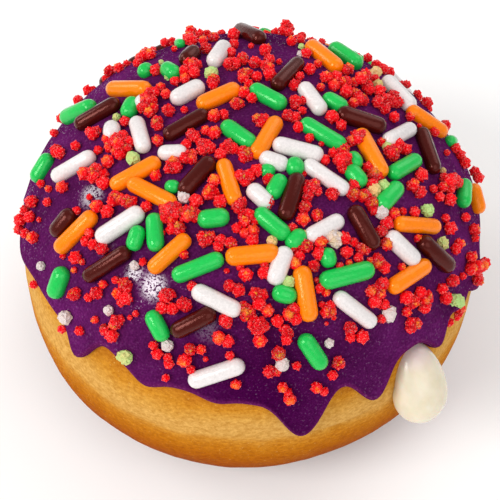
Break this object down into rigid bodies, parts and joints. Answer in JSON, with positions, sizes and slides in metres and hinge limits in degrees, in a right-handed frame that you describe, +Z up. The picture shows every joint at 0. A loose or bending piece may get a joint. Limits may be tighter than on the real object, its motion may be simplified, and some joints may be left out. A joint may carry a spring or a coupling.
{
  "type": "filled doughnut hole",
  "caption": "Small round filled doughnut with dripping icing, sugar sprinkles and crumbs on top, and a drop of cream coming out of its side.",
  "frame": {"origin": "middle of the flat foot that the dough stands on", "axes": "+Z up through the crown; -Y is the shown front, with the drop of cream at the front right"},
  "size_m": [0.0445, 0.0447, 0.0328],
  "materials": {
    "fried_dough": "golden fried dough, dry and slightly dimpled, paler round the waist",
    "cream": "smooth glossy cream",
    "icing": "deep purple icing, satin with fine speckled highlights",
    "sprinkles": "hard sugar sprinkles with a soft sheen: white, green, orange and dark brown",
    "crumbs": "dry red sugar crumbs with fine peaks, a few of them white, tan or pale green"
  },
  "bodies": {
    "root": {"dough": "fried_dough", "filling": "cream", "icing": "icing"}
  },
  "joints": []
}
